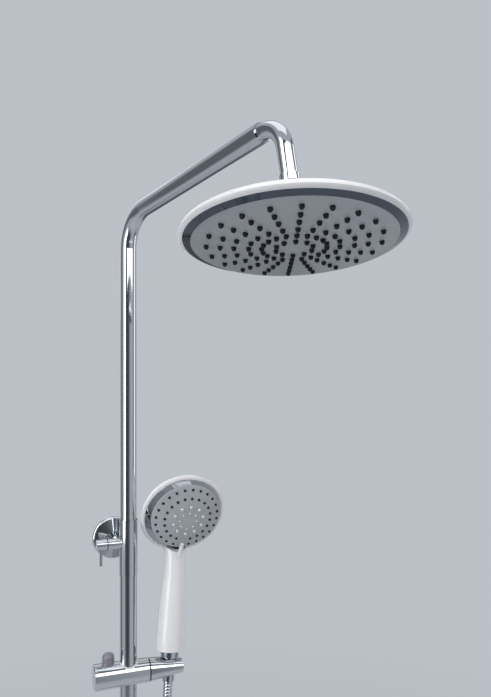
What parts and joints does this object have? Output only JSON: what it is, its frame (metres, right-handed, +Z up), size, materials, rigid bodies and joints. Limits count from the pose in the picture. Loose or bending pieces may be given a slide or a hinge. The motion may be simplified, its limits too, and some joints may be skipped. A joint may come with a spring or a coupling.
{
  "type": "shower system",
  "caption": "Wall-mounted rail shower: telescopic riser with a bent arm, round overhead shower on a ball joint, sliding tilting holder with hand shower, ribbed hose and diverter.",
  "frame": {"origin": "centre of the upper wall fixing, on the wall face", "axes": "+Z up along the rail, +Y into the wall, -Y to the room, +X to the right seen from the room"},
  "size_m": [0.2682, 0.4252, 1.7155],
  "materials": {
    "chrome": "polished",
    "white": "gloss",
    "silver": "satin",
    "nozzle": "matte",
    "button": "gloss",
    "nylon": "matte",
    "rubber": "matte",
    "steel": "brushed",
    "brass": "machined"
  },
  "bodies": {
    "frame": {"wall_rose_upper": "chrome", "wall_rose_lower": "chrome", "wall_studs": "steel", "grub_screws": "steel", "rail_bracket": "chrome", "lower_bracket": "chrome", "lower_tube": "chrome", "guide_bush": "chrome", "diverter_body": "chrome", "diverter_cartridge": "nylon", "tube_seal": "rubber", "hose_nut": "chrome", "hose_washer_lower": "rubber", "hose_loop": "chrome"},
    "clamp_pad": {"clamp_pad": "nylon"},
    "clamp_knob": {"clamp_knob": "chrome", "clamp_pin": "chrome"},
    "seal_cup": {"seal_cup": "nylon"},
    "riser": {"upper_tube": "chrome", "arm_elbow": "chrome", "ball_nipple": "brass"},
    "ball_seat": {"ball_seat": "nylon"},
    "overhead": {"swivel_nut": "chrome", "ball_seal": "rubber", "overhead_shell": "white", "overhead_trim": "chrome", "overhead_chamber": "white", "overhead_face": "silver", "overhead_nozzles": "nozzle", "flow_restrictor": "nylon"},
    "slider_bush": {"slider_bush": "nylon", "hose_leg": "chrome"},
    "slider": {"slider_body": "chrome", "slider_cap": "chrome", "pivot_washer": "rubber", "brake_spring": "steel", "hose_turn": "chrome"},
    "slider_button": {"slider_button": "button"},
    "brake_shoe": {"brake_shoe": "nylon"},
    "holder": {"hand_holder": "chrome", "pivot_screw": "steel", "hose_neck": "chrome"},
    "hand_shower": {"hand_shell": "white", "hand_nipple": "brass", "hose_washer_upper": "rubber", "cone_nut": "chrome", "hand_trim": "chrome", "spray_disc": "white", "selector_hub": "white", "hose_tip": "chrome"},
    "selector": {"hand_face": "silver", "hand_nozzles": "nozzle", "massage_jets": "chrome", "selector_lever": "white"},
    "diverter_dial": {"diverter_dial": "chrome", "diverter_rotor": "brass", "dial_screw": "steel", "dial_cap": "chrome"}
  },
  "joints": [
    {"name": "riser_slide", "type": "slide", "parent": "frame", "child": "seal_cup", "axis": [0, 0, 1], "range_m": [-0.25, 0.12]},
    {"name": "riser_turn", "type": "hinge", "parent": "seal_cup", "child": "riser", "pos_m": [0.012, -0.04, 0], "axis": [0, 0, 1], "range_deg": [-90, 55]},
    {"name": "head_nod", "type": "hinge", "parent": "riser", "child": "ball_seat", "pos_m": [0.10635, -0.31954, 0.35717], "axis": [0.9475, 0.3198, 0], "range_deg": [-8, 8]},
    {"name": "head_roll", "type": "hinge", "parent": "ball_seat", "child": "overhead", "pos_m": [0.10635, -0.31954, 0.35717], "axis": [0.3198, -0.9475, 0], "range_deg": [-8, 8]},
    {"name": "clamp_screw", "type": "slide", "parent": "frame", "child": "clamp_pad", "axis": [-1, 0, 0], "range_m": [0, 0.0005]},
    {"name": "clamp_turn", "type": "hinge", "parent": "clamp_pad", "child": "clamp_knob", "pos_m": [-0.02, -0.04, 0], "axis": [-1, 0, 0], "range_deg": [0, 180]},
    {"name": "slider_slide", "type": "slide", "parent": "frame", "child": "slider_bush", "axis": [0, 0, 1], "range_m": [-0.2, 0.1], "deforming": ["hose_leg"]},
    {"name": "slider_turn", "type": "hinge", "parent": "slider_bush", "child": "slider", "pos_m": [0.012, -0.04, -0.1624], "axis": [0, 0, 1], "range_deg": [-25, 25], "deforming": ["hose_turn"]},
    {"name": "button_press", "type": "slide", "parent": "slider", "child": "slider_button", "axis": [0, 0, -1], "range_m": [0, 0.003], "stiffness_N_per_m": 800, "springref_m": -0.002},
    {"name": "brake_release", "type": "slide", "parent": "slider", "child": "brake_shoe", "axis": [-1, 0, 0], "range_m": [0, 0.0005], "deforming": ["brake_spring"]},
    {"name": "holder_tilt", "type": "hinge", "parent": "slider", "child": "holder", "pos_m": [0.064, -0.04, -0.1624], "axis": [1, 0, 0], "range_deg": [-5, 50], "deforming": ["hose_neck"]},
    {"name": "hand_lift", "type": "slide", "parent": "holder", "child": "hand_shower", "axis": [0.0802, 0.0851, 0.9931], "range_m": [0, 0.045], "deforming": ["hose_tip"]},
    {"name": "selector_turn", "type": "hinge", "parent": "hand_shower", "child": "selector", "pos_m": [0.08152, -0.06184, 0.03048], "axis": [0.0139, -0.922, -0.387], "range_deg": [-60, 60]},
    {"name": "diverter_turn", "type": "hinge", "parent": "frame", "child": "diverter_dial", "pos_m": [0.012, -0.058, -0.922], "axis": [0, -1, 0], "range_deg": [-90, 90]}
  ],
  "couplings": [
    {"joint": "clamp_turn", "follows": "clamp_screw", "rad_per_m": 6283.2},
    {"joint": "brake_release", "follows": "button_press", "ratio": 0.16667}
  ]
}
